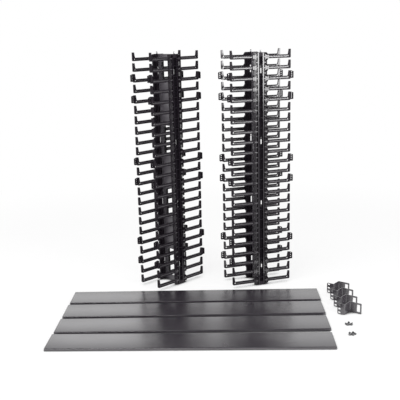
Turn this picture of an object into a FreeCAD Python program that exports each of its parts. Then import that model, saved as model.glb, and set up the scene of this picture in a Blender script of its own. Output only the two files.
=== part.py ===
"""Vertical cable manager kit for equipment racks: two half-height finger towers, four covers,
four rack brackets and their screws, laid out on the floor as they are unpacked.

Lengths are in millimetres and angles in degrees. +Z is up and the floor is at z = 0.
The origin is the middle of the kit's footprint, and +X runs along the covers.
In a tower's own axes x runs from one finger tip to the other, and y across the tower.
"""

import FreeCAD, Part
import math
import os

V = FreeCAD.Vector
UP = V(0, 0, 1)

# Fingers: L-shaped arms with a turned-up post, one for each rack unit
finger_pitch = 44.45
module_fingers = (7, 8, 8)
first_finger_z = 12.8
finger_reach = 135.3
finger_width = 9.0
arm_height = 14.0
post_height = 36.0
post_top = 7.5
post_taper = 3.5
tip_chamfer = 4.0
bay_depth = 5.0
bay_slope = 7.0

# Column: two comb strips with a recess between them, held on the rail of the spine
tower_width = 119.7
tower_height = 1016.0
column_depth = 61.0
recess_width = 17.0
end_gap = 1.0
hook_thickness = 2.2
hook_overlap = 6.0
hook_setback = 0.5
hook_gap = 0.2

# Spine: a web with cable windows between two side rails
rail_thickness = 2.5
web_thickness = 3.0
window_width = 52.0
window_height = 127.0
window_corner = 10.0
window_pitch = 279.0
first_window_z = 25.5
full_windows = 3
top_window_z = 905.0
top_window_height = 82.0
rail_slot_width = 13.0
rail_slot_height = 31.0

# Stacking pins on the tower's top, pressed in by a hexagonal shank, and the sockets for them in its foot
pin_diameter = 6.0
pin_shank_flats = 4.2
pin_stands_out = 10.0
pin_shoulder_gap = 0.3
pin_seat = 12.0
socket_clearance = 0.2
boss_wall_above_socket = 4.0

# Cover clips outside the posts, counted from the top finger
clip_fingers = (3, 5, 11, 13, 19, 21)
clip_reach = 13.0
clip_slope = 4.0
clip_window_width = 5.0
clip_window_height = 13.0

# Covers: folded sheet with side flanges and return lips
cover_length = 1050.0
cover_width = 130.0
cover_flange = 10.0
cover_sheet = 1.2
cover_bend_radius = 2.5
cover_lip = 6.0

# Rack brackets: an offset strip with three slots at the rail and a window at the tower
bracket_height = 43.5
bracket_sheet = 2.0
bracket_rail_flange = 32.0
bracket_offset = 47.0
bracket_tower_flange = 52.0
bracket_bend_radius = 3.0
rail_hole_spacing = 15.875
rail_slot_length = 11.0
rail_slot_size = 6.8
rail_slot_corner = 2.2
rail_slot_middle = 8.5
bracket_window_width = 14.0
bracket_window_height = 30.0
bracket_window_edge = 6.0

# Screws: hexagon head rack screws, loose in two heaps; head centre x, y and the shank's direction
screw_diameter = 5.2
screw_shank_sides = 12
screw_length = 12.0
screw_head_flats = 8.0
screw_head_height = 3.6
screw_spots = ((-4.0, -5.0, 118.0), (4.0, 6.0, -95.0), (11.5, -5.0, 60.0))
screw_heap_turns = (0.0, 196.0)

# Layout on the floor: covers in a row towards the viewer, towers behind them, brackets at the right
cover_gaps = (18.2, 22.6, 24.0)
cover_shifts = (0.0, -5.6, -11.1, -18.5)
cover_turns = (-1.29, -1.09, -1.38, -2.21)
tower_names = ("left", "right")
tower_shifts = (-103.2, 278.0)
tower_turns = (43.7, 17.3)
tower_gaps = (8.0, 32.0)
bracket_turn = -39.0
bracket_gap = 42.0
bracket_first_y = 28.0
bracket_spacing = 79.0
bracket_count = 4
screw_heap_gap = 62.0
screw_heap_spacing = 92.0
screw_heap_shift = 20.0

# Sizes that follow from the ones above
finger_count = sum(module_fingers)
strip_inner = recess_width / 2
strip_outer = column_depth / 2
rail_face = tower_width / 2 - finger_width
rail_back = rail_face - rail_thickness
hook_outer = strip_outer - hook_setback
rail_half_depth = hook_outer - hook_thickness - hook_gap
bay_height = finger_pitch - arm_height
clip_tip = finger_reach + clip_reach
socket_depth = pin_stands_out + 2 * socket_clearance
boss_height = pin_seat + boss_wall_above_socket


def box(x0, x1, y0, y1, z0, z1):
    """Box from its lowest and highest sides along each axis."""
    return Part.makeBox(x1 - x0, y1 - y0, z1 - z0, V(x0, y0, z0))


def wire(points, arcs=()):
    """Closed wire through the points. A number in arcs marks where a run bends through its next point."""
    edges = []
    last = len(points)
    step = 0
    while step < last:
        start = points[step]
        if step in arcs:
            edges.append(Part.Arc(start, points[step + 1], points[(step + 2) % last]).toShape())
            step += 2
        else:
            edges.append(Part.LineSegment(start, points[(step + 1) % last]).toShape())
            step += 1
    return Part.Wire(edges)


def prism(points, direction, arcs=()):
    """Solid drawn along a direction from a closed outline."""
    return Part.Face(wire(points, arcs)).extrude(direction)


def rounded_window(width, height, radius, thickness):
    """Solid that cuts a window with round corners, centred on the origin, through a wall across x."""
    block = box(-thickness, thickness, -width / 2, width / 2, -height / 2, height / 2)
    along = [e for e in block.Edges if abs(e.tangentAt(e.FirstParameter).x) > 0.9]
    return block.makeFillet(radius, along)


def corners(radius, sides):
    """Corners of a regular polygon round the origin of a plane."""
    turns = [2 * math.pi * step / sides for step in range(sides)]
    return [(radius * math.cos(turn), radius * math.sin(turn)) for turn in turns]


def hexagon(flats):
    """Corners of a hexagon round the origin of a plane, from the distance across its flats."""
    return corners(flats / math.sqrt(3), 6)


def finger_z(number):
    """Underside of a finger's arm, counted from the lowest one as 0."""
    return first_finger_z + number * finger_pitch


def comb_outline(first, count, low_z, high_z):
    """Side outline of one comb moulding: a strip with C-shaped bays between its L-shaped fingers."""
    root = strip_outer + bay_depth
    points = [V(strip_inner, 0, low_z), V(strip_outer, 0, low_z)]
    for number in range(first, first + count):
        z = finger_z(number)
        if number > first:
            points.append(V(strip_outer, 0, z - bay_slope))
        points.append(V(root, 0, z))
        points.append(V(finger_reach - tip_chamfer, 0, z))
        points.append(V(finger_reach, 0, z + tip_chamfer))
        points.append(V(finger_reach, 0, z + post_height))
        points.append(V(finger_reach - post_top, 0, z + post_height))
        points.append(V(finger_reach - post_top - post_taper, 0, z + arm_height))
        points.append(V(root, 0, z + arm_height))
        if number < first + count - 1:
            points.append(V(strip_outer, 0, z + arm_height + bay_slope))
    points.append(V(strip_outer, 0, high_z))
    points.append(V(strip_inner, 0, high_z))
    return points


def comb_module(level):
    """One comb moulding in the corner of +x and +y, with the hook that grips the spine's rail edge."""
    first = sum(module_fingers[:level])
    count = module_fingers[level]
    seam = arm_height / 2 - finger_pitch / 2
    low_z = end_gap if level == 0 else finger_z(first) + seam
    top_level = level == len(module_fingers) - 1
    high_z = tower_height - end_gap if top_level else finger_z(first + count) + seam
    comb = prism(comb_outline(first, count, low_z, high_z), V(0, finger_width, 0))
    comb.translate(V(0, rail_face, 0))
    hook_inner = rail_back - hook_gap - hook_thickness
    hook = prism([
        V(hook_outer - hook_thickness, rail_face, low_z),
        V(hook_outer, rail_face, low_z),
        V(hook_outer, hook_inner, low_z),
        V(hook_outer - hook_overlap, hook_inner, low_z),
        V(hook_outer - hook_overlap, hook_inner + hook_thickness, low_z),
        V(hook_outer - hook_thickness, hook_inner + hook_thickness, low_z),
    ], V(0, 0, high_z - low_z))
    return comb.fuse(hook).removeSplitter()


def cover_clip(number_from_top):
    """One cover clip: a trapezoid block with a window, on the outside of a post."""
    z = finger_z(finger_count - number_from_top)
    top = z + post_height
    outline = [
        V(finger_reach, rail_face, z + tip_chamfer),
        V(clip_tip, rail_face, z + clip_slope),
        V(clip_tip, rail_face, top - clip_slope),
        V(finger_reach, rail_face, top),
    ]
    clip = prism(outline, V(0, finger_width, 0))
    middle_x = (finger_reach + clip_tip) / 2
    middle_z = (z + top) / 2
    window = box(middle_x - clip_window_width / 2, middle_x + clip_window_width / 2,
                 rail_face - 1, rail_face + finger_width + 1,
                 middle_z - clip_window_height / 2, middle_z + clip_window_height / 2)
    return clip.cut(window)


def window_places():
    """Centre height and height of each cable window in the web, from the foot up."""
    places = []
    for number in range(full_windows):
        places.append((first_window_z + window_height / 2 + number * window_pitch, window_height))
    places.append((top_window_z + top_window_height / 2, top_window_height))
    return places


def spine():
    """H-shaped spine: web with windows, two slotted side rails, and a boss in each end of the recess."""
    web = box(-web_thickness / 2, web_thickness / 2, -rail_back, rail_back, 0, tower_height)
    for z, height in window_places():
        window = rounded_window(window_width, height, window_corner, web_thickness)
        window.translate(V(0, 0, z))
        web = web.cut(window)
    pieces = [web]
    for side in (-1, 1):
        y0, y1 = sorted((side * rail_back, side * rail_face))
        rail = box(-rail_half_depth, rail_half_depth, y0, y1, 0, tower_height)
        for z, height in window_places():
            slot_x = rail_slot_width / 2
            slot_z = rail_slot_height / 2
            beside_web = box(-slot_x, slot_x, y0, y1, z - slot_z, z + slot_z)
            rail = rail.cut(beside_web)
        pieces.append(rail)
        b0, b1 = sorted((side * rail_face, side * tower_width / 2))
        for low in (0, tower_height - boss_height):
            pieces.append(box(-strip_inner, strip_inner, b0, b1, low, low + boss_height))
    body = pieces[0]
    for piece in pieces[1:]:
        body = body.fuse(piece)
    body = body.removeSplitter()
    for x, y in pin_places():
        socket = Part.makeCylinder(pin_diameter / 2 + socket_clearance, socket_depth, V(x, y, 0))
        body = body.cut(socket).cut(pin_shank(x, y, tower_height))
    return body


def pin_places():
    """Axes of the stacking pins, in the middle of the bosses."""
    y = tower_width / 2 - finger_width / 2
    return [(0, -y), (0, y)]


def pin_shank(x, y, top):
    """Hexagonal bar from the bottom of a pin's seat to the given height."""
    low = tower_height - pin_seat
    return prism([V(x + a, y + b, low) for a, b in hexagon(pin_shank_flats)], V(0, 0, top - low))


def stacking_pins():
    """Two pins with a round free end, each pressed into a top boss by its hexagonal shank."""
    shoulder = tower_height + pin_shoulder_gap
    length = pin_stands_out - pin_shoulder_gap
    pins = []
    for x, y in pin_places():
        free_end = Part.makeCylinder(pin_diameter / 2, length, V(x, y, shoulder))
        pins.append(free_end.fuse(pin_shank(x, y, shoulder)))
    return pins


def mirrored(shape, end, side):
    """Copy of a piece made in the +x +y corner, moved to another corner of the tower."""
    result = shape.copy()
    if end < 0:
        result = result.mirror(V(0, 0, 0), V(1, 0, 0))
    if side < 0:
        result = result.mirror(V(0, 0, 0), V(0, 1, 0))
    return result


def tower(name):
    """All pieces of one tower in its own axes, by node name."""
    pieces = {name + "_tower_spine": [spine()], name + "_tower_stacking_pins": stacking_pins()}
    combs = [comb_module(level) for level in range(len(module_fingers))]
    clips = [cover_clip(number) for number in clip_fingers]
    places = {"front_left": (-1, 1), "front_right": (-1, -1), "rear_right": (1, -1), "rear_left": (1, 1)}
    for corner, (end, side) in places.items():
        for level, comb in zip(("lower", "middle", "upper"), combs):
            pieces[name + "_tower_comb_" + corner + "_" + level] = [mirrored(comb, end, side)]
        pieces[name + "_tower_clips_" + corner] = [mirrored(clip, end, side) for clip in clips]
    return pieces


def cover():
    """One cover lying on its lips with its outer face up, centred on the origin."""
    half = cover_width / 2
    bend = cover_bend_radius
    inside = half - cover_sheet
    under = cover_flange - cover_sheet
    halfway = bend * (1 - math.sqrt(0.5))
    right = [
        (inside - cover_lip, cover_sheet),
        (inside - cover_lip, 0),
        (half, 0),
        (half, cover_flange - bend),
        (half - halfway, cover_flange - halfway),
        (half - bend, cover_flange),
    ]
    x = -cover_length / 2
    points = [V(x, y, z) for y, z in right]
    points += [V(x, -y, z) for y, z in reversed(right)]
    points += [V(x, -inside, cover_sheet), V(x, -inside, under)]
    points += [V(x, inside, under), V(x, inside, cover_sheet)]
    return prism(points, V(cover_length, 0, 0), (3, 6))


def bracket():
    """One offset bracket: rail flange from the origin along +x, web along +y, tower flange along +x."""
    t = bracket_sheet
    bend = bracket_bend_radius
    halfway = bend * (1 - math.sqrt(0.5))
    web_x = bracket_rail_flange
    end_x = web_x - t + bracket_tower_flange
    end_y = bracket_offset
    points = [
        V(0, 0, 0),
        V(web_x - bend, 0, 0),
        V(web_x - halfway, halfway, 0),
        V(web_x, bend, 0),
        V(web_x, end_y - t, 0),
        V(end_x, end_y - t, 0),
        V(end_x, end_y, 0),
        V(web_x - t + bend, end_y, 0),
        V(web_x - t + halfway, end_y - halfway, 0),
        V(web_x - t, end_y - bend, 0),
        V(web_x - t, t, 0),
        V(0, t, 0),
    ]
    strip = prism(points, V(0, 0, bracket_height), (1, 7))
    middle = bracket_height / 2
    for row in (-1, 0, 1):
        strip = strip.cut(rail_slot(middle + row * rail_hole_spacing))
    window_x = end_x - bracket_window_edge
    half_window = bracket_window_height / 2
    return strip.cut(box(window_x - bracket_window_width, window_x, end_y - 2 * t, end_y + t,
                         middle - half_window, middle + half_window))


def rail_slot(z):
    """Slot with bevelled ends through the bracket's rail flange."""
    x = rail_slot_length / 2
    h = rail_slot_size / 2
    c = rail_slot_corner
    right = [(x - c, -h), (x, c - h), (x, h - c), (x - c, h)]
    left = [(-dx, -dz) for dx, dz in right]
    points = [V(rail_slot_middle + dx, -bracket_sheet, z + dz) for dx, dz in right + left]
    return prism(points, V(0, 3 * bracket_sheet, 0))


def screw():
    """One rack screw lying on the floor along +x, on a flat of its head and the end of its shank."""
    radius = screw_diameter / 2
    head_corners = [V(-screw_head_height, a, b) for a, b in hexagon(screw_head_flats)]
    shank_corners = [V(0, a, b) for a, b in corners(radius, screw_shank_sides)]
    head = prism(head_corners, V(screw_head_height, 0, 0))
    shank = prism(shank_corners, V(screw_length, 0, 0))
    piece = head.fuse(shank)
    lean = math.degrees(math.atan2(screw_head_flats / 2 - radius, screw_length))
    piece.rotate(V(0, 0, 0), V(0, 1, 0), lean)
    piece.translate(V(0, 0, -piece.optimalBoundingBox().ZMin))
    return piece


def screw_heap():
    """Loose screws dropped close together round the origin, clear of each other."""
    screws = []
    for x, y, turn in screw_spots:
        screws += placed([screw()], turn, x, y)
    return screws


def placed(shapes, turn, x, y):
    """Copies of the shapes turned about +z and moved to their place on the floor."""
    result = []
    for shape in shapes:
        copy = shape.copy()
        copy.rotate(V(0, 0, 0), UP, turn)
        copy.translate(V(x, y, 0))
        result.append(copy)
    return result


def kit():
    """Every node of the kit, laid out with the first cover's centre as the origin."""
    nodes = {}
    cover_y = 0.0
    for number, turn in enumerate(cover_turns):
        if number > 0:
            cover_y -= cover_width + cover_gaps[number - 1]
        name = "cover_" + str(number + 1)
        nodes[name] = placed([cover()], turn, cover_shifts[number], cover_y)
    cover_lean = abs(math.tan(math.radians(cover_turns[0])))
    for name, turn, x, gap in zip(tower_names, tower_turns, tower_shifts, tower_gaps):
        angle = math.radians(turn)
        reach = clip_tip * math.sin(angle) + tower_width / 2 * math.cos(angle)
        edge = cover_width / 2 + cover_lean * max(0.0, clip_tip - x)
        for node, shapes in tower(name).items():
            nodes[node] = placed(shapes, turn, x, edge + gap + reach)
    bracket_x = cover_length / 2 + bracket_gap
    for number in range(bracket_count):
        bracket_y = bracket_first_y - number * bracket_spacing
        nodes["bracket_" + str(number + 1)] = placed([bracket()], bracket_turn, bracket_x, bracket_y)
    heap_y = bracket_y - bracket_tower_flange - screw_heap_gap
    nodes["rack_screws"] = []
    for number, turn in enumerate(screw_heap_turns):
        y = heap_y - number * screw_heap_spacing
        nodes["rack_screws"] += placed(screw_heap(), turn, bracket_x + screw_heap_shift, y)
    return nodes


os.makedirs("parts", exist_ok=True)
nodes = kit()
whole = Part.makeCompound([shape for shapes in nodes.values() for shape in shapes])
middle = whole.BoundBox.Center
for node, shapes in nodes.items():
    for shape in shapes:
        shape.translate(V(-middle.x, -middle.y, 0))
    body = shapes[0] if len(shapes) == 1 else Part.makeCompound(shapes)
    body.exportStep("parts/" + node + ".step")
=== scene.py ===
import math

import bmesh
import bpy
from mathutils import Matrix, Vector


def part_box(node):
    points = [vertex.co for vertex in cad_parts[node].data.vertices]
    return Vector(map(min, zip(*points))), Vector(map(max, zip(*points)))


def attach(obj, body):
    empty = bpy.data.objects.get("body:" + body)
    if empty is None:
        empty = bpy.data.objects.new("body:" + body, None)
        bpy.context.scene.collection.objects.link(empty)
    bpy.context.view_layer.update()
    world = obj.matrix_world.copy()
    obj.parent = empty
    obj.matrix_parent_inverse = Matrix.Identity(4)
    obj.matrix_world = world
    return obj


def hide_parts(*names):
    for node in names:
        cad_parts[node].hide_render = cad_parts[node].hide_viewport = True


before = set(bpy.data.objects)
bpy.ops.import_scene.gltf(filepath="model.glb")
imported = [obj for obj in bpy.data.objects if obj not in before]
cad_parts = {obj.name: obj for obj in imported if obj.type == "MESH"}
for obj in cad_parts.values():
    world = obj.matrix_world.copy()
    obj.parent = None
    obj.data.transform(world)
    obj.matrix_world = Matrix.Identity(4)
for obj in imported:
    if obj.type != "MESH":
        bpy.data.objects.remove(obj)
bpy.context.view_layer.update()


# Tower spine
# The H-shaped backbone of each tower, moulded in black ABS: a ribbed web with four cable windows between
# two side rails. The rails are slotted beside the windows and carry a solid boss at the head and the foot.
finger_pitch = 0.04445
spine_height = 1.016
spine_rail_face = 0.05085
spine_rail_thickness = 0.0025
spine_rail_depth = 0.0552
spine_web_thickness = 0.003
window_width = 0.052
window_corner = 0.010
window_spans = ((0.0255, 0.1525), (0.3045, 0.4315), (0.5835, 0.7105), (0.905, 0.987))
window_collar = 0.003
web_rib_height = 0.0025
web_rib_half = 0.001
web_rib_places = (-0.0425, -0.0355, 0.0355, 0.0425)
guide_rib_place = 0.01025
guide_rib_half = 0.00075
guide_rib_foot = 0.0405
side_slot_half = (0.0065, 0.0155)
boss_face = 0.05985
boss_half = 0.0085
boss_height = 0.016
boss_bevel = 0.0012
bar_sides = (0.0005, 0.0585)
bar_half = 0.0082
bar_span = (0.0330, 0.0348)
bar_count = 22
painted_sheen_web_zone = (0.0045, 0.048)
web_clearance = 0.02
rail_clearance = 0.01
near = 0.00001
moulded_angle = 20
broad_grain = 9
grain_depth = 0.0002
colour_shift = (0.85, 1.15)
tower_turns = {"left": 43.7, "right": 17.3}


def clear_selection():
    if bpy.context.mode != "OBJECT":
        bpy.ops.object.mode_set(mode="OBJECT")
    bpy.ops.object.select_all(action="DESELECT")


def work_on(piece):
    """Makes a piece the only selected one and the active one."""
    clear_selection()
    piece.select_set(True)
    bpy.context.view_layer.objects.active = piece


def settle():
    """Moves the place, turn and scale of the selected piece into its mesh."""
    bpy.ops.object.transform_apply(location=True, rotation=True, scale=True)


def block(name, x, y, z):
    """A box between two values along each axis, with its place in its mesh."""
    clear_selection()
    middle = [(low + high) / 2 for low, high in (x, y, z)]
    size = [high - low for low, high in (x, y, z)]
    bpy.ops.mesh.primitive_cube_add(size=1, location=middle, scale=size)
    settle()
    piece = bpy.context.active_object
    piece.name = name
    return piece


def pick_faces(piece, wanted):
    """In edit mode, selects the faces whose middle and normal pass the test."""
    bpy.ops.mesh.select_mode(type="FACE")
    bpy.ops.mesh.select_all(action="DESELECT")
    shape = bmesh.from_edit_mesh(piece.data)
    for face in shape.faces:
        face.select = wanted(face.calc_center_median(), face.normal)
    shape.select_flush_mode()
    bmesh.update_edit_mesh(piece.data)


def pick_edges(piece, wanted):
    """In edit mode, selects the edges whose middle and direction pass the test."""
    bpy.ops.mesh.select_mode(type="EDGE")
    bpy.ops.mesh.select_all(action="DESELECT")
    shape = bmesh.from_edit_mesh(piece.data)
    for edge in shape.edges:
        first, second = (corner.co for corner in edge.verts)
        edge.select = wanted((first + second) / 2, (second - first).normalized())
    shape.select_flush_mode()
    bmesh.update_edit_mesh(piece.data)


def round_edges(piece, wanted, radius, segments):
    """Bevels the edges of a piece whose middle and direction pass the test."""
    work_on(piece)
    bpy.ops.object.mode_set(mode="EDIT")
    pick_edges(piece, wanted)
    bpy.ops.mesh.bevel(offset=radius, segments=segments, affect="EDGES")
    bpy.ops.object.mode_set(mode="OBJECT")
    return piece


def add_together(piece, extras):
    """Joins further bodies to the piece."""
    work_on(piece)
    for extra in extras:
        extra.select_set(True)
    bpy.ops.object.join()
    return piece


def cut_away(piece, cutter):
    """Takes the cutter's shape out of the piece."""
    work_on(piece)
    change = piece.modifiers.new("Cut", "BOOLEAN")
    change.operation = "DIFFERENCE"
    change.solver = "EXACT"
    change.object = cutter
    bpy.ops.object.modifier_apply(modifier=change.name)
    bpy.data.objects.remove(cutter)


def repeat_up(piece, count, merged):
    """Repeats a piece upwards, once in each rack unit, and merges the corners where copies meet if asked."""
    work_on(piece)
    row = piece.modifiers.new("Row", "ARRAY")
    row.use_relative_offset = False
    row.use_constant_offset = True
    row.constant_offset_displace = (0, 0, finger_pitch)
    row.count = count
    row.use_merge_vertices = merged
    row.merge_threshold = near
    bpy.ops.object.modifier_apply(modifier=row.name)


def window_block(name, border, low, high, reach):
    """A block as large as a cable window and its border, with round corners, that reaches past the web."""
    width = window_width + 2 * border
    shape = block(name, (-reach, reach), (-width / 2, width / 2), (low - border, high + border))
    return round_edges(shape, lambda middle, along: abs(along.x) > 0.9, window_corner, 6)


def stand_in_tower(piece, tower):
    """Turns a piece made in a tower's own axes and moves it to that tower, all in its mesh."""
    low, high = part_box(tower + "_tower_spine")
    work_on(piece)
    piece.rotation_euler = (0, 0, math.radians(tower_turns[tower]))
    piece.location = ((low[0] + high[0]) / 2, (low[1] + high[1]) / 2, 0)
    settle()


def copy_of(piece, name):
    work_on(piece)
    bpy.ops.object.duplicate(linked=False)
    twin = bpy.context.active_object
    twin.name = name
    return twin


def moulded_grain():
    """Node group: fine grain of a moulded or coated surface, as a height and a small change of roughness."""
    group = bpy.data.node_groups.new("Fine grain", "ShaderNodeTree")
    for way, names in (("INPUT", ("Size", "Roughness", "Spread")), ("OUTPUT", ("Height", "Roughness"))):
        for name in names:
            group.interface.new_socket(name, in_out=way, socket_type="NodeSocketFloat")
    nodes, links = group.nodes, group.links
    given, result = nodes.new("NodeGroupInput"), nodes.new("NodeGroupOutput")
    place = nodes.new("ShaderNodeTexCoord")
    fine, broad = nodes.new("ShaderNodeTexNoise"), nodes.new("ShaderNodeTexNoise")
    broad.inputs["Scale"].default_value = broad_grain
    spread, total, centred = (nodes.new("ShaderNodeMath") for step in range(3))
    centred.operation, spread.operation, total.operation = "SUBTRACT", "MULTIPLY", "ADD"
    centred.inputs[1].default_value = 0.5
    links.new(place.outputs["Object"], fine.inputs["Vector"])
    links.new(place.outputs["Object"], broad.inputs["Vector"])
    links.new(given.outputs["Size"], fine.inputs["Scale"])
    links.new(broad.outputs["Fac"], centred.inputs[0])
    links.new(centred.outputs[0], spread.inputs[0])
    links.new(given.outputs["Spread"], spread.inputs[1])
    links.new(spread.outputs[0], total.inputs[0])
    links.new(given.outputs["Roughness"], total.inputs[1])
    links.new(fine.outputs["Fac"], result.inputs["Height"])
    links.new(total.outputs[0], result.inputs["Roughness"])
    return group


def surface_finish(name, colour, grain_size, roughness, spread, relief, specular=0.5):
    """A surface whose relief, gloss and base colour all shift a little with the fine grain."""
    finish = bpy.data.materials.new(name)
    finish.use_nodes = True
    nodes, links = finish.node_tree.nodes, finish.node_tree.links
    shader = nodes["Principled BSDF"]
    grain = nodes.new("ShaderNodeGroup")
    grain.node_tree = bpy.data.node_groups.get("Fine grain") or moulded_grain()
    grain.inputs["Size"].default_value = grain_size
    grain.inputs["Roughness"].default_value = roughness
    grain.inputs["Spread"].default_value = spread
    bump = nodes.new("ShaderNodeBump")
    bump.inputs["Strength"].default_value = relief
    bump.inputs["Distance"].default_value = grain_depth
    tint = nodes.new("ShaderNodeMix")
    tint.data_type = "RGBA"
    for side, shift in zip("AB", colour_shift):
        tint.inputs[side].default_value = (*[shift * part for part in colour], 1)
    links.new(grain.outputs["Height"], bump.inputs["Height"])
    links.new(grain.outputs["Height"], tint.inputs["Factor"])
    links.new(tint.outputs["Result"], shader.inputs["Base Color"])
    links.new(grain.outputs["Roughness"], shader.inputs["Roughness"])
    links.new(bump.outputs["Normal"], shader.inputs["Normal"])
    shader.inputs["Specular IOR Level"].default_value = specular
    return finish


def crisp_edges(piece, degrees):
    """Shades a piece smooth, apart from the edges that bend by more than the angle."""
    work_on(piece)
    bpy.ops.object.shade_smooth_by_angle(angle=math.radians(degrees))


def tower_spine():
    """The web with windows, collars and ribs, and both rails with guide ribs, slots, bosses and thin bars."""
    rail_back = spine_rail_face - spine_rail_thickness
    half_web = spine_web_thickness / 2
    rib_reach = half_web + web_rib_height
    whole = (0, spine_height)
    web = block("spine", (-half_web, half_web), (-rail_back, rail_back), whole)
    sides = []
    for low, high in window_spans:
        cut_away(web, window_block("opening", 0, low, high, web_clearance))
        collar = window_block("collar", window_collar, low, high, rib_reach)
        cut_away(collar, window_block("opening", 0, low, high, web_clearance))
        sides.append(collar)
    for y in web_rib_places:
        sides.append(block("rib", (-rib_reach, rib_reach), (y - web_rib_half, y + web_rib_half), whole))
    for side in (-1, 1):
        rail_y = sorted((side * rail_back, side * spine_rail_face))
        rib_y = sorted((side * guide_rib_foot, side * rail_back))
        for x in (-guide_rib_place, guide_rib_place):
            sides.append(block("rib", (x - guide_rib_half, x + guide_rib_half), rib_y, whole))
        rail = block("rail", (-spine_rail_depth / 2, spine_rail_depth / 2), rail_y, whole)
        slot_y = (rail_y[0] - rail_clearance, rail_y[1] + rail_clearance)
        half_x, half_z = side_slot_half
        for low, high in window_spans:
            middle = (low + high) / 2
            cut_away(rail, block("slot", (-half_x, half_x), slot_y, (middle - half_z, middle + half_z)))
        sides.append(rail)
        boss_y = sorted((side * spine_rail_face, side * boss_face))
        for low in (0, spine_height - boss_height):
            boss = block("boss", (-boss_half, boss_half), boss_y, (low, low + boss_height))
            sides.append(round_edges(boss, lambda middle, along: abs(along.z) > 0.9, boss_bevel, 2))
        bar_y = sorted((side * (spine_rail_face - bar_sides[0]), side * bar_sides[1]))
        bar = block("bar", (-bar_half, bar_half), bar_y, bar_span)
        repeat_up(bar, bar_count, merged=False)
        sides.append(bar)
    add_together(web, sides)
    crisp_edges(web, moulded_angle)
    return web


spine_plastic = surface_finish("Spine plastic", (0.018, 0.0145, 0.019), grain_size=900,
                               roughness=0.42, spread=0.10, relief=0.12, specular=0.10)
# The web is glossy, and its base colour, five times lighter than the spine plastic, is a painted sheen on the
# web between the windows.
spine_web_painted_sheen = surface_finish("Spine plastic, glossy web with painted sheen", (0.090, 0.082, 0.094), grain_size=700,
                           roughness=0.34, spread=0.14, relief=0.10, specular=1.0)
# The rail faces in the recess between the combs are matt, and their base colour, darker than the spine
# plastic, is painted shade.
spine_recess_painted_shade = surface_finish("Spine plastic, matt recess with painted shade", (0.008, 0.0065, 0.009), grain_size=900,
                              roughness=0.60, spread=0.06, relief=0.06, specular=0.03)
spine_form = tower_spine()
for finish in (spine_plastic, spine_web_painted_sheen, spine_recess_painted_shade):
    spine_form.data.materials.append(finish)
for face in spine_form.data.polygons:
    # Faces of the web between the rails take the glossy material with the painted sheen.
    if abs(face.center.x) < painted_sheen_web_zone[0] and abs(face.center.y) < painted_sheen_web_zone[1]:
        face.material_index = 1
    # Rail faces in the recess take the matt material with the painted shade.
    elif abs(face.normal.y) > 0.9 and abs(abs(face.center.y) - spine_rail_face) < near:
        face.material_index = 2
for tower in tower_turns:
    spine_piece = copy_of(spine_form, tower + "_spine")
    stand_in_tower(spine_piece, tower)
    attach(spine_piece, tower + "_tower")
    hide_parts(tower + "_tower_spine")
bpy.data.objects.remove(spine_form)


# Finger combs
# One moulding of black ABS for seven or eight rack units, with an L-shaped finger to each unit and a bay with
# a sloped edge between two fingers, so that cords bend gently. It slides on to the spine's rail by its hook.
comb_outer_face = 0.05985
comb_strip = (0.0085, 0.0305)
strip_face = comb_outer_face - 0.0003
arm_height = 0.014
arm_root = 0.0355
root_flare = ((0.0330, 0.0165), (0.0313, 0.0210), (0.0302, 0.0280))
post_height = 0.036
post_inside = 0.1243
post_taper = 0.68
finger_tip = 0.1353
first_finger = 0.0128
elbow_outside = 0.0040
elbow_inside = 0.0030
rim_radius = 0.0009
flute_ends = (0.0015, 0.0070)
flute_depth = 0.0028
flute_height = (0.0046, 0.0096)
flute_clearance = 0.002
eye_place = (0.1240, 0.0086)
eye_rim = (0.0039, 0.0068)
eye_hole = 0.0029
eye_cutter = 0.02
half_bay = (finger_pitch - arm_height) / 2
scoop_size = ((0, 0.02), (0, 0.012), (-0.0156, 0.0156))
scoop_corner = 0.009
scoop_turn = -30
scoop_edge = 0.0192
scoop_depth = 0.0080
pocket_sides = (0.0142, 0.0196)
pocket_middle = 0.0169
pocket_depth = 0.0076
pocket_clearance = 0.001
pocket_border = 0.0014
pocket_narrowing = (0.9, 1, 0.92)
long_pad = ((0.0165, 0.0280), (0.0046, 0.0094))
short_pad_sides = (0.0178, 0.0226)
short_pad_half = 0.0021
pad_depth = 0.003
pad_bevel = 0.0004
pad_end = 0.029
hook_wall = (0.0278, 0.0300)
hook_lip = (0.04595, 0.04815)
hook_reach = 0.0038
spine_margin = 0.0010
comb_gap = 0.00015
comb_levels = {"lower": (0, 7), "middle": (7, 8), "upper": (15, 8)}
comb_corners = {"front_left": (-1, 1), "front_right": (-1, -1), "rear_right": (1, -1), "rear_left": (1, 1)}


def scoop_cutter(z):
    """A rounded wedge that takes a half-moon slope out of the outer face, down to the border of a bay."""
    scoop = block("scoop", *scoop_size)
    round_edges(scoop, lambda middle, along: abs(along.y) > 0.9 and middle.x < near, scoop_corner, 5)
    scoop.rotation_euler = (0, 0, math.radians(scoop_turn))
    scoop.location = (scoop_edge, strip_face, z)
    settle()
    return scoop


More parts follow.
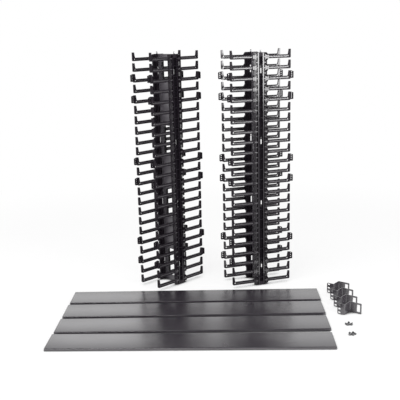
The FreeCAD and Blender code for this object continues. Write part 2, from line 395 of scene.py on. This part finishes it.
def strip_unit():
    """One rack unit of the strip, with two pockets along its inner border and half a slope at each end."""
    ends = (-half_bay, arm_height + half_bay)
    strip = block("strip", comb_strip, (spine_rail_face, strip_face), ends)
    for z in ends:
        cut_away(strip, scoop_cutter(z))
    centre = arm_height / 2
    pocket_y = (comb_outer_face - pocket_depth, comb_outer_face + pocket_clearance)
    lower = (ends[0] + pocket_border, centre - pocket_border)
    upper = (centre + pocket_border, ends[1] - pocket_border)
    for low, high in (lower, upper):
        pocket = block("pocket", pocket_sides, pocket_y, (low, high))
        work_on(pocket)
        bpy.ops.object.mode_set(mode="EDIT")
        pick_faces(pocket, lambda middle, normal: normal.y < -0.9)
        bpy.ops.transform.resize(value=pocket_narrowing, center_override=(pocket_middle, 0, (low + high) / 2))
        bpy.ops.object.mode_set(mode="OBJECT")
        cut_away(strip, pocket)
    work_on(strip)
    bpy.ops.object.mode_set(mode="EDIT")
    pick_faces(strip, lambda middle, normal: abs(normal.z) > 0.99
               and (middle.z < ends[0] + near or middle.z > ends[1] - near))
    bpy.ops.mesh.delete(type="FACE")
    bpy.ops.object.mode_set(mode="OBJECT")
    return strip


def strip_pads():
    """The raised pads of one rack unit: a long one at the finger's root and a short one beside the bay."""
    short_pad = (short_pad_sides, (-half_bay - short_pad_half, -half_bay + short_pad_half))
    pads = []
    for x, z in (long_pad, short_pad):
        pad = block("pad", x, (comb_outer_face - pad_depth, comb_outer_face), z)
        work_on(pad)
        bpy.ops.object.mode_set(mode="EDIT")
        pick_faces(pad, lambda middle, normal: normal.y > 0.9)
        bpy.ops.mesh.bevel(offset=pad_bevel, segments=1, affect="EDGES")
        bpy.ops.object.mode_set(mode="OBJECT")
        pads.append(pad)
    return add_together(pads[0], pads[1:])


def cylinder(corners, radius, length, middle, turn=(0, 0, 0)):
    """A cylinder about its turned z axis, with its place in its mesh."""
    clear_selection()
    bpy.ops.mesh.primitive_cylinder_add(vertices=corners, radius=radius, depth=length,
                                        location=middle, rotation=turn)
    settle()
    return bpy.context.active_object


def one_finger():
    """One L-shaped finger: an arm with round rims, flutes, a flared root and an eye at its tapered post."""
    arm = block("finger", (arm_root, finger_tip), (spine_rail_face, comb_outer_face), (0, arm_height))
    work_on(arm)
    bpy.ops.object.mode_set(mode="EDIT")
    for x, height in root_flare:
        pick_faces(arm, lambda middle, normal: normal.x < -0.9)
        shape = bmesh.from_edit_mesh(arm.data)
        here = min(corner.co.x for corner in shape.verts)
        reach = [corner.co.z for corner in shape.verts if corner.co.x < here + near]
        growth = height / (max(reach) - min(reach))
        bpy.ops.mesh.extrude_region_move(TRANSFORM_OT_translate={"value": (x - here, 0, 0)})
        bpy.ops.transform.resize(value=(1, 1, growth), center_override=(x, 0, arm_height / 2))
    bpy.ops.mesh.select_all(action="SELECT")
    bpy.ops.mesh.bisect(plane_co=(post_inside, 0, 0), plane_no=(1, 0, 0))
    pick_faces(arm, lambda middle, normal: normal.z > 0.9 and middle.x > post_inside)
    bpy.ops.mesh.extrude_region_move(TRANSFORM_OT_translate={"value": (0, 0, post_height - arm_height)})
    bpy.ops.transform.resize(value=(post_taper, 1, 1), center_override=(finger_tip, 0, post_height))
    pick_edges(arm, lambda middle, along: abs(along.y) > 0.9 and middle.x > finger_tip - near
               and middle.z < near)
    bpy.ops.mesh.bevel(offset=elbow_outside, segments=2, affect="EDGES")
    pick_edges(arm, lambda middle, along: abs(along.y) > 0.9 and abs(middle.x - post_inside) < near
               and abs(middle.z - arm_height) < near)
    bpy.ops.mesh.bevel(offset=elbow_inside, segments=2, affect="EDGES")
    pick_faces(arm, lambda middle, normal: abs(normal.y) > 0.9)
    bpy.ops.mesh.region_to_loop()
    bpy.ops.mesh.bevel(offset=rim_radius, segments=2, affect="EDGES")
    bpy.ops.object.mode_set(mode="OBJECT")
    flute_x = (arm_root + flute_ends[0], finger_tip - flute_ends[1])
    for y in ((comb_outer_face - flute_depth, comb_outer_face + flute_clearance),
              (spine_rail_face - flute_clearance, spine_rail_face + flute_depth)):
        cut_away(arm, block("flute", flute_x, y, flute_height))
    rim, stand_off = eye_rim
    across = (math.radians(90), 0, 0)
    for radius, y in ((rim, comb_outer_face + stand_off), (rim, spine_rail_face - stand_off),
                      (eye_hole, comb_outer_face)):
        cut_away(arm, cylinder(14, radius, eye_cutter, (eye_place[0], y, eye_place[1]), across))
    return arm


def stack_up(unit, first, count):
    """Repeats a rack unit upwards from its finger's number."""
    repeat_up(unit, count, merged=True)
    unit.location.z = first_finger + first * finger_pitch
    settle()
    return unit


def comb(first, count):
    """A moulding in the tower's +x +y corner: strip and pads, trimmed at both ends, with fingers and hook."""
    foot, head = (first_finger + number * finger_pitch - half_bay for number in (first, first + count))
    low = max(spine_margin, foot + comb_gap)
    high = min(spine_height - spine_margin, head - comb_gap)
    strip = stack_up(strip_unit(), first, count)
    pads = stack_up(strip_pads(), first, count)
    for piece in (strip, pads):
        work_on(piece)
        bpy.ops.object.mode_set(mode="EDIT")
        for z, side in ((low, -1), (high, 1)):
            bpy.ops.mesh.select_all(action="SELECT")
            bpy.ops.mesh.bisect(plane_co=(0, 0, z), plane_no=(0, 0, side), use_fill=True, clear_outer=True)
        bpy.ops.object.mode_set(mode="OBJECT")
    hook = block("hook", hook_wall, (hook_lip[0], spine_rail_face), (low, high))
    work_on(hook)
    bpy.ops.object.mode_set(mode="EDIT")
    bpy.ops.mesh.select_all(action="SELECT")
    bpy.ops.mesh.bisect(plane_co=(0, hook_lip[1], 0), plane_no=(0, 1, 0))
    pick_faces(hook, lambda middle, normal: normal.x < -0.9 and middle.y < hook_lip[1])
    bpy.ops.mesh.extrude_region_move(TRANSFORM_OT_translate={"value": (-hook_reach, 0, 0)})
    bpy.ops.object.mode_set(mode="OBJECT")
    fingers = stack_up(one_finger(), first, count)
    add_together(strip, [hook, pads, fingers])
    for finish in (comb_plastic, comb_grain_painted_sheen, comb_gloss):
        strip.data.materials.append(finish)
    floor_of_flute = (spine_rail_face + flute_depth, comb_outer_face - flute_depth)
    for face in strip.data.polygons:
        x, y, out = face.center.x, face.center.y, face.normal.y
        on_strip = x < arm_root - 0.001
        if 0.8 < out < 0.97 and face.normal.x > 0.1 and on_strip and y > comb_outer_face - scoop_depth:
            face.material_index = 2
        if abs(out) < 0.99:
            continue
        # Flute floors and the pads' faces take the grained material, whose lighter base colour is painted
        # sheen.
        if x > arm_root and min(abs(y - depth) for depth in floor_of_flute) < near:
            face.material_index = 1
        elif out > 0 and x < pad_end and y > comb_outer_face - near:
            face.material_index = 1
        elif out > 0 and on_strip and y > strip_face - near:
            face.material_index = 2
        elif out < 0 and x > post_inside - 0.001:
            face.material_index = 2
    return strip


def corner_copy(form, name, tower, end, side):
    """A copy of a piece made in the +x +y corner, mirrored into another corner and stood in its tower."""
    piece = copy_of(form, name)
    piece.scale = (end, side, 1)
    settle()
    if end * side < 0:
        bpy.ops.object.mode_set(mode="EDIT")
        bpy.ops.mesh.select_all(action="SELECT")
        bpy.ops.mesh.normals_make_consistent(inside=False)
        bpy.ops.object.mode_set(mode="OBJECT")
    crisp_edges(piece, moulded_angle)
    stand_in_tower(piece, tower)
    return piece


comb_plastic = surface_finish("Comb plastic", (0.014, 0.0110, 0.015), grain_size=900,
                              roughness=0.45, spread=0.06, relief=0.06, specular=0.12)
# The grain and its bumps are real. The lighter base colour, three times that of the comb plastic, is a
# painted sheen on the arms' webs and the pads.
comb_grain_painted_sheen = surface_finish("Comb plastic, grained faces with painted sheen", (0.045, 0.041, 0.047), grain_size=1400,
                            roughness=0.34, spread=0.10, relief=0.20, specular=0.85)
comb_gloss = surface_finish("Comb plastic, glossy faces", (0.010, 0.0075, 0.011), grain_size=900,
                            roughness=0.16, spread=0.04, relief=0.04, specular=0.42)
for level, (first, count) in comb_levels.items():
    comb_form = comb(first, count)
    for tower in tower_turns:
        for corner, (end, side) in comb_corners.items():
            comb_piece = corner_copy(comb_form, "%s_comb_%s_%s" % (tower, corner, level), tower, end, side)
            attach(comb_piece, tower + "_tower")
            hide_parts("%s_tower_comb_%s_%s" % (tower, corner, level))
    bpy.data.objects.remove(comb_form)


# Stacking pins
# Two steel pins with a round free end, pressed into the head of each tower by a hexagonal shank. The next
# tower's foot drops over them.
pin_radius = 0.003
pin_span = (1.0163, 1.026)
pin_shank = (0.0042, 1.004)
pin_offset = 0.05535
pin_bevel = 0.0006


def stacking_pin(y):
    """A round pin with bevelled ends on top of its hexagonal shank."""
    pin = cylinder(24, pin_radius, pin_span[1] - pin_span[0], (0, y, sum(pin_span) / 2))
    bpy.ops.object.mode_set(mode="EDIT")
    pick_faces(pin, lambda middle, normal: abs(normal.z) > 0.9)
    bpy.ops.mesh.region_to_loop()
    bpy.ops.mesh.bevel(offset=pin_bevel, segments=3, affect="EDGES")
    bpy.ops.object.mode_set(mode="OBJECT")
    flats, low = pin_shank
    shank = cylinder(6, flats / math.sqrt(3), pin_span[0] - low, (0, y, (low + pin_span[0]) / 2))
    return add_together(pin, [shank])


pin_steel = surface_finish("Pin steel", (0.32, 0.32, 0.33), grain_size=1500,
                           roughness=0.35, spread=0.10, relief=0.05)
pin_steel.node_tree.nodes["Principled BSDF"].inputs["Metallic"].default_value = 0.9
for tower in tower_turns:
    pins = add_together(stacking_pin(-pin_offset), [stacking_pin(pin_offset)])
    pins.name = tower + "_stacking_pins"
    pins.data.materials.append(pin_steel)
    crisp_edges(pins, 40)
    stand_in_tower(pins, tower)
    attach(pins, tower + "_tower")
    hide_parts(tower + "_tower_stacking_pins")


# Cover clips
# Trapezoid blocks of black ABS on the outside of every third and fifth post of each eight, sunk on both faces
# and pierced by three small windows. The covers clip on to them.
clip_reach = 0.0128
clip_slope = 0.004
clip_inset = 0.0002
clip_narrowing = 0.875
clip_corner = 0.0015
clip_fingers = (3, 5, 11, 13, 19, 21)
finger_total = 23
clip_panel_half = 0.0042
clip_panel_span = (0.0075, 0.0320)
clip_panel_cuts = ((0.0588, 0.07), (0.04, 0.0519))
clip_window_half = 0.0031
clip_window_height = 0.0052
clip_window_feet = (0.0095, 0.0180, 0.0265)
clip_window_cut = (0.04, 0.07)


def cover_clip(from_top):
    """One clip at its finger, in the tower's +x +y corner."""
    foot = first_finger + (finger_total - from_top) * finger_pitch
    clip_y = (spine_rail_face + clip_inset, comb_outer_face - clip_inset)
    clip_z = (foot + clip_slope, foot + post_height)
    clip = block("clip", (finger_tip, finger_tip + clip_reach), clip_y, clip_z)
    work_on(clip)
    bpy.ops.object.mode_set(mode="EDIT")
    pick_faces(clip, lambda middle, normal: normal.x > 0.9)
    bpy.ops.transform.resize(value=(1, 1, clip_narrowing), center_override=(0, 0, foot + clip_slope))
    pick_edges(clip, lambda middle, along: abs(along.y) > 0.9 and middle.x > finger_tip + clip_reach / 2)
    bpy.ops.mesh.bevel(offset=clip_corner, segments=2, affect="EDGES")
    bpy.ops.object.mode_set(mode="OBJECT")
    middle_x = finger_tip + clip_reach / 2
    panel_x = (middle_x - clip_panel_half, middle_x + clip_panel_half)
    window_x = (middle_x - clip_window_half, middle_x + clip_window_half)
    for y in clip_panel_cuts:
        cut_away(clip, block("panel", panel_x, y, [foot + z for z in clip_panel_span]))
    for low in clip_window_feet:
        window_z = (foot + low, foot + low + clip_window_height)
        cut_away(clip, block("window", window_x, clip_window_cut, window_z))
    return clip


clip_plastic = surface_finish("Clip plastic", (0.012, 0.0095, 0.013), grain_size=900,
                              roughness=0.58, spread=0.08, relief=0.10, specular=0.06)
clip_form = add_together(cover_clip(clip_fingers[0]), [cover_clip(number) for number in clip_fingers[1:]])
clip_form.data.materials.append(clip_plastic)
for tower in tower_turns:
    for corner, (end, side) in comb_corners.items():
        clips = corner_copy(clip_form, "%s_clips_%s" % (tower, corner), tower, end, side)
        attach(clips, tower + "_tower")
        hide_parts("%s_tower_clips_%s" % (tower, corner))
bpy.data.objects.remove(clip_form)


# Covers
# Long doors of folded sheet, satin black enamel, with a side flange and a return lip along each long edge.
# They lie face up on the floor beside each other.
cover_length = 1.05
cover_width = 0.13
cover_flange = 0.010
cover_sheet_thickness = 0.0012
cover_bend = 0.0025
cover_lip_edge = 0.0578
cover_turns = {"cover_1": -1.29, "cover_2": -1.09, "cover_3": -1.38, "cover_4": -2.21}


def lay_at_node(piece, turn, node):
    """Turns a piece about +Z and moves its middle over that of the CAD node's box, all in its mesh."""
    work_on(piece)
    piece.rotation_euler = (0, 0, math.radians(turn))
    settle()
    low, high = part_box(node)
    for axis in range(2):
        reach = [corner.co[axis] for corner in piece.data.vertices]
        piece.location[axis] = (low[axis] + high[axis]) / 2 - (min(reach) + max(reach)) / 2
    settle()


def folded_cover():
    """The sheet's outer side, folded from an open block and given its thickness towards the inside."""
    half = cover_width / 2
    sheet = block("cover", (-cover_length / 2, cover_length / 2), (-half, half), (0, cover_flange))
    work_on(sheet)
    bpy.ops.object.mode_set(mode="EDIT")
    pick_faces(sheet, lambda middle, normal: abs(normal.x) > 0.9 or normal.z < -0.9)
    bpy.ops.mesh.delete(type="FACE")
    pick_edges(sheet, lambda middle, along: abs(along.x) > 0.9 and middle.z > cover_flange - near)
    bpy.ops.mesh.bevel(offset=cover_bend, segments=5, affect="EDGES")
    pick_edges(sheet, lambda middle, along: abs(along.x) > 0.9 and middle.z < near)
    bpy.ops.mesh.extrude_edges_move()
    bpy.ops.transform.resize(value=(1, cover_lip_edge / half, 1), center_override=(0, 0, 0))
    bpy.ops.mesh.select_all(action="SELECT")
    bpy.ops.mesh.normals_make_consistent(inside=False)
    bpy.ops.object.mode_set(mode="OBJECT")
    fold = sheet.modifiers.new("Sheet", "SOLIDIFY")
    fold.thickness = cover_sheet_thickness
    fold.offset = -1
    fold.use_even_offset = True
    bpy.ops.object.modifier_apply(modifier=fold.name)
    crisp_edges(sheet, 40)
    return sheet


cover_enamel = surface_finish("Cover enamel", (0.024, 0.020, 0.026), grain_size=1600,
                              roughness=0.26, spread=0.06, relief=0.03)
cover_enamel.node_tree.nodes["Principled BSDF"].inputs["IOR"].default_value = 2.1
cover_form = folded_cover()
cover_form.data.materials.append(cover_enamel)
for node, turn in cover_turns.items():
    cover_piece = copy_of(cover_form, "long_" + node)
    lay_at_node(cover_piece, turn, node)
    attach(cover_piece, node + "_body")
    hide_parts(node)
bpy.data.objects.remove(cover_form)


# Rack brackets
# Offset strips of pressed steel in dark grey enamel. Three slots take the rack rail's screws, and a tall
# window near the other end hooks on to the tower.
bracket_height = 0.0435
bracket_rail_flange = 0.032
bracket_offset = 0.045
bracket_reach = 0.082
bracket_steel = 0.002
bracket_turn = -39.0
bracket_bends = ((0, 0.0045), (bracket_offset, 0.0030))
bracket_ends = ((0, 0.005, 4), (bracket_reach, 0.003, 3))
rail_slots = (0.0085, 0.011, 0.0068)
rail_slot_corner = 0.00335
rail_slot_spacing = 0.015875
bracket_window = ((0.062, 0.076), (0.00675, 0.03675))
bracket_window_corner = 0.0015
bracket_cut = (-0.01, 0.06)


def round_cutter(x, z, corner):
    """A block with round corners that reaches through both flanges of a bracket."""
    cutter = block("cutter", x, bracket_cut, z)
    return round_edges(cutter, lambda middle, along: abs(along.y) > 0.9, corner, 6)


def offset_bracket():
    """A strip bent twice and given its thickness, with round ends, three slots and a window."""
    clear_selection()
    bpy.ops.mesh.primitive_plane_add(size=1, location=(bracket_rail_flange / 2, 0, bracket_height / 2),
                                     rotation=(math.radians(90), 0, 0))
    strip = bpy.context.active_object
    strip.scale = (bracket_rail_flange, bracket_height, 1)
    settle()
    bpy.ops.object.mode_set(mode="EDIT")
    pick_edges(strip, lambda middle, along: abs(along.z) > 0.9 and middle.x > bracket_rail_flange - near)
    bpy.ops.mesh.extrude_edges_move()
    bpy.ops.transform.translate(value=(0, bracket_offset, 0))
    bpy.ops.mesh.extrude_edges_move()
    bpy.ops.transform.translate(value=(bracket_reach - bracket_rail_flange, 0, 0))
    for y, radius in bracket_bends:
        pick_edges(strip, lambda middle, along: abs(along.z) > 0.9
                   and abs(middle.x - bracket_rail_flange) < near and abs(middle.y - y) < near)
        bpy.ops.mesh.bevel(offset=radius, segments=5, affect="EDGES")
    bpy.ops.object.mode_set(mode="OBJECT")
    wall = strip.modifiers.new("Wall", "SOLIDIFY")
    wall.thickness = bracket_steel
    wall.offset = -1
    bpy.ops.object.modifier_apply(modifier=wall.name)
    bpy.ops.object.mode_set(mode="EDIT")
    for x, radius, segments in bracket_ends:
        pick_edges(strip, lambda middle, along: abs(along.y) > 0.9 and abs(middle.x - x) < near)
        bpy.ops.mesh.bevel(offset=radius, segments=segments, affect="EDGES")
    bpy.ops.object.mode_set(mode="OBJECT")
    slot_x, slot_length, slot_size = rail_slots
    for row in (-1, 0, 1):
        z = bracket_height / 2 + row * rail_slot_spacing
        cut_away(strip, round_cutter((slot_x - slot_length / 2, slot_x + slot_length / 2),
                                     (z - slot_size / 2, z + slot_size / 2), rail_slot_corner))
    cut_away(strip, round_cutter(*bracket_window, bracket_window_corner))
    crisp_edges(strip, 35)
    return strip


bracket_enamel = surface_finish("Bracket enamel", (0.036, 0.032, 0.038), grain_size=1200,
                                roughness=0.22, spread=0.06, relief=0.04)
bracket_enamel.node_tree.nodes["Principled BSDF"].inputs["IOR"].default_value = 2.1
bracket_form = offset_bracket()
bracket_form.data.materials.append(bracket_enamel)
for number in (1, 2, 3, 4):
    bracket_piece = copy_of(bracket_form, "offset_bracket_%d" % number)
    lay_at_node(bracket_piece, bracket_turn, "bracket_%d" % number)
    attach(bracket_piece, "bracket_%d_body" % number)
    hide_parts("bracket_%d" % number)
bpy.data.objects.remove(bracket_form)


# Rack screws
# Six short hexagon head screws of dark zinc-plated steel with a rolled thread. They lie on the floor in two
# small heaps of three.
screw_radius = 0.0026
screw_length = 0.012
screw_head = (0.0080, 0.0036)
head_bevel = (0.0005, 0.0004)
thread_pitch = 0.001
thread_steps = ((0.35, 0.84), (0.35, 1 / 0.84), (0.30, 1))
screw_spots = ((-0.004, -0.005, 118), (0.004, 0.006, -95), (0.0115, -0.005, 60))
screw_heaps = ((0, 0), (-0.092, 196))


def rack_screw():
    """One screw along +x: a bevelled hexagon head and a shank drawn out ring by ring into its thread."""
    flats, height = screw_head
    lying = (0, math.radians(90), 0)
    screw = cylinder(6, flats / math.sqrt(3), height, (-height / 2, 0, 0), lying)
    bpy.ops.object.mode_set(mode="EDIT")
    pick_faces(screw, lambda middle, normal: normal.x < -0.9)
    bpy.ops.mesh.inset(thickness=head_bevel[0], depth=head_bevel[1])
    bpy.ops.object.mode_set(mode="OBJECT")
    shank = cylinder(16, screw_radius, thread_pitch, (thread_pitch / 2, 0, 0), lying)
    bpy.ops.object.mode_set(mode="EDIT")
    for ring in range(int((screw_length - thread_pitch) / thread_pitch)):
        end = thread_pitch * (ring + 1)
        for share, size in thread_steps:
            end += thread_pitch * share
            pick_faces(shank, lambda middle, normal: normal.x > 0.999)
            bpy.ops.mesh.extrude_region_move(TRANSFORM_OT_translate={"value": (thread_pitch * share, 0, 0)})
            bpy.ops.transform.resize(value=(1, size, size), center_override=(end, 0, 0))
    bpy.ops.object.mode_set(mode="OBJECT")
    add_together(screw, [shank])
    lean = math.atan2(flats / 2 - screw_radius, screw_length)
    for turn in ((math.radians(30), 0, 0), (0, lean, 0)):
        screw.rotation_euler = turn
        settle()
    screw.location.z = -min(corner.co.z for corner in screw.data.vertices)
    settle()
    return screw


screw_steel = surface_finish("Screw steel", (0.16, 0.16, 0.165), grain_size=2500,
                             roughness=0.38, spread=0.10, relief=0.10)
screw_steel.node_tree.nodes["Principled BSDF"].inputs["Metallic"].default_value = 0.8
screw_form = rack_screw()
screw_form.data.materials.append(screw_steel)
crisp_edges(screw_form, 30)
loose_screws = []
for heap_y, heap_turn in screw_heaps:
    for x, y, turn in screw_spots:
        screw_piece = copy_of(screw_form, "rack_screw")
        along, across = math.cos(math.radians(heap_turn)), math.sin(math.radians(heap_turn))
        screw_piece.rotation_euler = (0, 0, math.radians(turn + heap_turn))
        screw_piece.location = (x * along - y * across, heap_y + x * across + y * along, 0)
        settle()
        loose_screws.append(screw_piece)
bpy.data.objects.remove(screw_form)
rack_screws = add_together(loose_screws[0], loose_screws[1:])
rack_screws.name = "loose_rack_screws"
lay_at_node(rack_screws, 0, "rack_screws")
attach(rack_screws, "screws")
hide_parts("rack_screws")


# Floor, backdrop and light A seamless white studio floor, with painted shade where pieces stand close
# together and between the covers, runs into a white sweep.
floor_radius = 30
floor_drop = 0.0003
# Floor base colour from close beside pieces to the open floor; the dark end is painted shade.
floor_painted_shade_tones = (0.10, 0.9)
shadow_share = 0.20
shadow_fade = (1.3, 2.6)
contact_reach = 0.03
contact_samples = 12
contact_span = (0.40, 0.92)
gap_span = (0.78, 1.0)
gap_floor = {"X": (-0.582, 0.450), "Y": (-0.328, 0.034)}
gap_border = 0.004
room_level = 0.28
sweep_side = (-0.25, 0.25)
sweep_top = (0.55, 0.90)


def either(nodes, links, values):
    """The values added together, at most 1."""
    total = values[0]
    for value in values[1:]:
        step = nodes.new("ShaderNodeMath")
        step.use_clamp = True
        links.new(total, step.inputs[0])
        links.new(value, step.inputs[1])
        total = step.outputs[0]
    return total


def span(nodes, links, value, low, high, at_low, at_high):
    """A smooth change from one level to another as the value goes from low to high."""
    change = nodes.new("ShaderNodeMapRange")
    change.interpolation_type = "SMOOTHSTEP"
    for name, number in (("From Min", low), ("From Max", high), ("To Min", at_low), ("To Max", at_high)):
        change.inputs[name].default_value = number
    links.new(value, change.inputs["Value"])
    return change.outputs["Result"]


def product(nodes, links, first, second):
    step = nodes.new("ShaderNodeMath")
    step.operation = "MULTIPLY"
    links.new(first, step.inputs[0])
    links.new(second, step.inputs[1])
    return step.outputs[0]


def open_share(nodes, links, place):
    """How open the floor is, from ambient occlusion: 0 close beside pieces, 1 in the open, with its own span
    among the covers. It sets the floor's painted shade.
    """
    contact = nodes.new("ShaderNodeAmbientOcclusion")
    contact.samples = contact_samples
    contact.inputs["Distance"].default_value = contact_reach
    open_floor = span(nodes, links, contact.outputs["AO"], *contact_span, 0, 1)
    parts, between = nodes.new("ShaderNodeSeparateXYZ"), nodes.new("ShaderNodeMix")
    links.new(place.outputs["Object"], parts.inputs[0])
    inside = []
    for axis, (low, high) in gap_floor.items():
        inside.append(span(nodes, links, parts.outputs[axis], low - gap_border, low, 0, 1))
        inside.append(span(nodes, links, parts.outputs[axis], high, high + gap_border, 1, 0))
    across, along = product(nodes, links, *inside[:2]), product(nodes, links, *inside[2:])
    links.new(product(nodes, links, across, along), between.inputs["Factor"])
    links.new(open_floor, between.inputs["A"])
    links.new(span(nodes, links, contact.outputs["AO"], *gap_span, 0, 1), between.inputs["B"])
    return between.outputs["Result"]


def studio_floor():
    """A white disc that shines by itself to the camera, apart from the share that takes shadows. Close beside
    pieces and between the covers, its colour and glow are darkened as painted shade.
    """
    clear_selection()
    bpy.ops.mesh.primitive_circle_add(vertices=96, radius=floor_radius, fill_type="NGON",
                                      location=(0, 0, -floor_drop))
    settle()
    floor = bpy.context.active_object
    floor.name = "studio_floor"
    paint = bpy.data.materials.new("White floor")
    paint.use_nodes = True
    nodes, links = paint.node_tree.nodes, paint.node_tree.links
    shader, output = nodes["Principled BSDF"], nodes["Material Output"]
    shader.inputs["Roughness"].default_value = 1
    shader.inputs["Specular IOR Level"].default_value = 0
    glow, blend = nodes.new("ShaderNodeEmission"), nodes.new("ShaderNodeMixShader")
    place, distance = nodes.new("ShaderNodeTexCoord"), nodes.new("ShaderNodeVectorMath")
    distance.operation = "LENGTH"
    links.new(place.outputs["Object"], distance.inputs[0])
    path = nodes.new("ShaderNodeLightPath")
    rays = [path.outputs[kind] for kind in ("Is Camera Ray", "Is Glossy Ray", "Is Transmission Ray")]
    seen = either(nodes, links, rays)
    share = span(nodes, links, distance.outputs["Value"], *shadow_fade, 1 - shadow_share, 1)
    free = open_share(nodes, links, place)
    # Painted shade: the floor's base colour and its glow fall with how open the floor is.
    pale = nodes.new("ShaderNodeMix")
    pale.data_type = "RGBA"
    for side, tone in zip("AB", floor_painted_shade_tones):
        pale.inputs[side].default_value = (tone, tone, tone, 1)
    links.new(free, pale.inputs["Factor"])
    links.new(pale.outputs["Result"], shader.inputs["Base Color"])
    links.new(product(nodes, links, free, product(nodes, links, share, seen)), blend.inputs[0])
    links.new(shader.outputs[0], blend.inputs[1])
    links.new(glow.outputs[0], blend.inputs[2])
    links.new(blend.outputs[0], output.inputs["Surface"])
    floor.data.materials.append(paint)


def studio_world():
    world = bpy.data.worlds.new("Studio")
    bpy.context.scene.world = world
    world.use_nodes = True
    nodes, links = world.node_tree.nodes, world.node_tree.links
    white, room = nodes["Background"], nodes.new("ShaderNodeBackground")
    blend = nodes.new("ShaderNodeMixShader")
    for light, level in ((white, 1), (room, room_level)):
        light.inputs["Color"].default_value = (1, 1, 1, 1)
        light.inputs["Strength"].default_value = level
    place, parts = nodes.new("ShaderNodeTexCoord"), nodes.new("ShaderNodeSeparateXYZ")
    links.new(place.outputs["Generated"], parts.inputs[0])
    behind = span(nodes, links, parts.outputs["Y"], *sweep_side, 0, 1)
    below = span(nodes, links, parts.outputs["Z"], *sweep_top, 1, 0)
    path = nodes.new("ShaderNodeLightPath")
    sweep = product(nodes, links, behind, below)
    seen = either(nodes, links, [sweep, path.outputs["Is Camera Ray"], path.outputs["Is Transmission Ray"]])
    links.new(seen, blend.inputs[0])
    links.new(room.outputs[0], blend.inputs[1])
    links.new(white.outputs[0], blend.inputs[2])
    links.new(blend.outputs[0], nodes["World Output"].inputs["Surface"])


def softbox(name, place, aim, width, height, power):
    """A rectangular lamp that points from its place to its aim."""
    clear_selection()
    bpy.ops.object.light_add(type="AREA", location=place)
    lamp = bpy.context.active_object
    lamp.name = name
    lamp.data.shape = "RECTANGLE"
    lamp.data.size = width
    lamp.data.size_y = height
    lamp.data.energy = power
    lamp.rotation_euler = (Vector(aim) - Vector(place)).to_track_quat("-Z", "Y").to_euler()
    lamp.visible_camera = False
    return lamp


studio_floor()
studio_world()
softbox("Key softbox", (2.24, -2.20, 1.16), (0.22, 0.28, 0.85), width=0.9, height=1.2, power=70)
softbox("Back softbox left", (-0.95, 3.0, 1.35), (-0.4, 0, 0), width=0.95, height=1.0, power=2.6)
softbox("Back softbox right", (0.95, 3.0, 1.35), (0.4, 0, 0), width=0.8, height=1.0, power=1.2)
softbox("Front softbox", (-0.93, -2.70, 1.20), (0.2, 0.28, 0.85), width=0.5, height=1.2, power=16)
overhead = softbox("Overhead light", (-1.2, -1.5, 3.6), (0, 0, 0), width=3.0, height=3.0, power=125)
overhead.visible_glossy = False


# Camera
# Fitted to the finger tips and the cover corners of the photograph. It stands in front of the covers, a
# little above the towers, and looks 13 degrees down with a slight roll.
camera_distance = 2.9286
camera_shift = 0.0296
camera_height = 1.1276
camera_pitch = 13.434
camera_roll = -1.333
camera_focal_px = 728.05
picture_px = 400
sensor_mm = 36

cover_low, cover_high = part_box("cover_1")
cover_x = (cover_low[0] + cover_high[0]) / 2
cover_y = (cover_low[1] + cover_high[1]) / 2
clear_selection()
bpy.ops.object.camera_add(location=(cover_x + camera_shift, cover_y - camera_distance, camera_height))
camera = bpy.context.active_object
camera.data.sensor_width = sensor_mm
camera.data.lens = camera_focal_px / picture_px * camera.data.sensor_width
camera.rotation_mode = "XYZ"
camera.rotation_euler = (math.radians(90 - camera_pitch), 0, 0)
roll = Matrix.Rotation(math.radians(camera_roll), 3, "Z")
camera.rotation_euler = (camera.rotation_euler.to_matrix() @ roll).to_euler()
bpy.context.scene.camera = camera

bpy.context.scene.view_settings.view_transform = "Standard"
